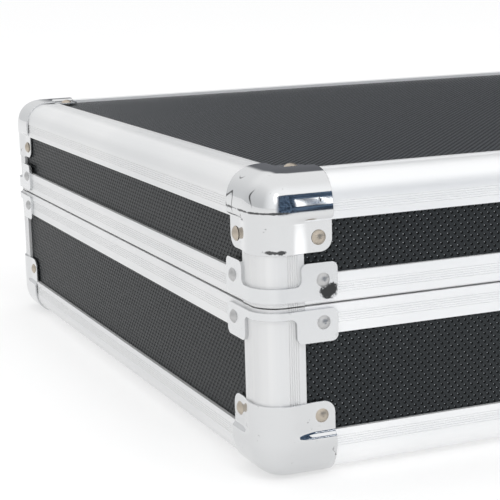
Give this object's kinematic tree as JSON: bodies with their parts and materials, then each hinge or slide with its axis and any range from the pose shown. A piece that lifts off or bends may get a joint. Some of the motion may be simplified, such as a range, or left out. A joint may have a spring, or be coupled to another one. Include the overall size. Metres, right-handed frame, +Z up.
{
  "type": "poker chip case",
  "caption": "Long shallow hard case with dotted board panels in aluminium profiles, steel ball corners, hinged lid, key latches, folding handle and fitted chip trays.",
  "frame": {"origin": "middle of the whole object's footprint, on the floor that the ball corners stand on", "axes": "+X along the long side, -Y the front with the latches and handle, +Z up"},
  "size_m": [0.5634, 0.2282, 0.0716],
  "materials": {
    "dotted_board": "black dotted vinyl laminate on board",
    "satin_aluminium": "satin anodised",
    "chromed_steel": "bright chromed steel pressings",
    "nickel_rivet": "bright nickel",
    "steel_rivet": "bright zinc",
    "steel_pin": "plain steel",
    "lock_brass": "nickelled brass",
    "grip_plastic": "fine grained moulding",
    "lining": "short pile felt",
    "pad_foam": "foam under felt",
    "flocked_tray": "flocked moulding"
  },
  "bodies": {
    "base": {"base_front_panel": "dotted_board", "base_back_panel": "dotted_board", "base_left_panel": "dotted_board", "base_right_panel": "dotted_board", "base_front_edge_profile": "satin_aluminium", "base_back_edge_profile": "satin_aluminium", "base_left_edge_profile": "satin_aluminium", "base_right_edge_profile": "satin_aluminium", "base_corner_posts": "satin_aluminium", "base_front_rim": "satin_aluminium", "base_back_rim": "satin_aluminium", "base_left_rim": "satin_aluminium", "base_right_rim": "satin_aluminium", "base_ball_corners": "chromed_steel", "base_corner_brackets": "chromed_steel", "base_ball_corner_rivets": "nickel_rivet", "base_bracket_rivets": "steel_rivet", "base_hardware_rivets": "steel_rivet", "base_hinge_leaves": "chromed_steel", "base_bottom_panel": "dotted_board", "base_lining": "lining", "hinge_pins": "steel_pin", "handle_brackets": "chromed_steel", "lock_cases": "chromed_steel", "left_chip_tray": "flocked_tray", "right_chip_tray": "flocked_tray", "centre_tray": "flocked_tray"},
    "lid": {"lid_front_panel": "dotted_board", "lid_back_panel": "dotted_board", "lid_left_panel": "dotted_board", "lid_right_panel": "dotted_board", "lid_front_edge_profile": "satin_aluminium", "lid_back_edge_profile": "satin_aluminium", "lid_left_edge_profile": "satin_aluminium", "lid_right_edge_profile": "satin_aluminium", "lid_corner_posts": "satin_aluminium", "lid_front_rim": "satin_aluminium", "lid_back_rim": "satin_aluminium", "lid_left_rim": "satin_aluminium", "lid_right_rim": "satin_aluminium", "lid_ball_corners": "chromed_steel", "lid_corner_brackets": "chromed_steel", "lid_ball_corner_rivets": "nickel_rivet", "lid_bracket_rivets": "steel_rivet", "lid_hardware_rivets": "steel_rivet", "lid_hinge_leaves": "chromed_steel", "lid_top_panel": "dotted_board", "lid_pad": "pad_foam", "hasp_mounts": "chromed_steel", "hasp_pins": "steel_pin"},
    "left_hasp": {"left_hasp": "chromed_steel"},
    "right_hasp": {"right_hasp": "chromed_steel"},
    "left_slider": {"left_slider": "chromed_steel"},
    "right_slider": {"right_slider": "chromed_steel"},
    "left_lock_cylinder": {"left_lock_cylinder": "lock_brass"},
    "right_lock_cylinder": {"right_lock_cylinder": "lock_brass"},
    "handle": {"handle_bail": "chromed_steel", "handle_grip": "grip_plastic"}
  },
  "joints": [
    {"name": "lid_hinge", "type": "hinge", "parent": "base", "child": "lid", "pos_m": [0, 0.11148, 0.0411], "axis": [-1, 0, 0], "range_deg": [0, 95]},
    {"name": "handle_fold", "type": "hinge", "parent": "base", "child": "handle", "pos_m": [0, -0.10808, 0.0308], "axis": [-1, 0, 0], "range_deg": [0, 100]},
    {"name": "left_hasp_hinge", "type": "hinge", "parent": "lid", "child": "left_hasp", "pos_m": [-0.165, -0.10458, 0.0548], "axis": [-1, 0, 0], "range_deg": [0, 100]},
    {"name": "left_slider_slide", "type": "slide", "parent": "base", "child": "left_slider", "axis": [1, 0, 0], "range_m": [0, 0.002], "stiffness_N_per_m": 150, "springref_m": -0.002},
    {"name": "left_key_turn", "type": "hinge", "parent": "base", "child": "left_lock_cylinder", "pos_m": [-0.1712, -0.10147, 0.0181], "axis": [0, -1, 0], "range_deg": [0, 90]},
    {"name": "right_hasp_hinge", "type": "hinge", "parent": "lid", "child": "right_hasp", "pos_m": [0.165, -0.10458, 0.0548], "axis": [-1, 0, 0], "range_deg": [0, 100]},
    {"name": "right_slider_slide", "type": "slide", "parent": "base", "child": "right_slider", "axis": [1, 0, 0], "range_m": [0, 0.002], "stiffness_N_per_m": 150, "springref_m": -0.002},
    {"name": "right_key_turn", "type": "hinge", "parent": "base", "child": "right_lock_cylinder", "pos_m": [0.1588, -0.10147, 0.0181], "axis": [0, -1, 0], "range_deg": [0, 90]}
  ]
}
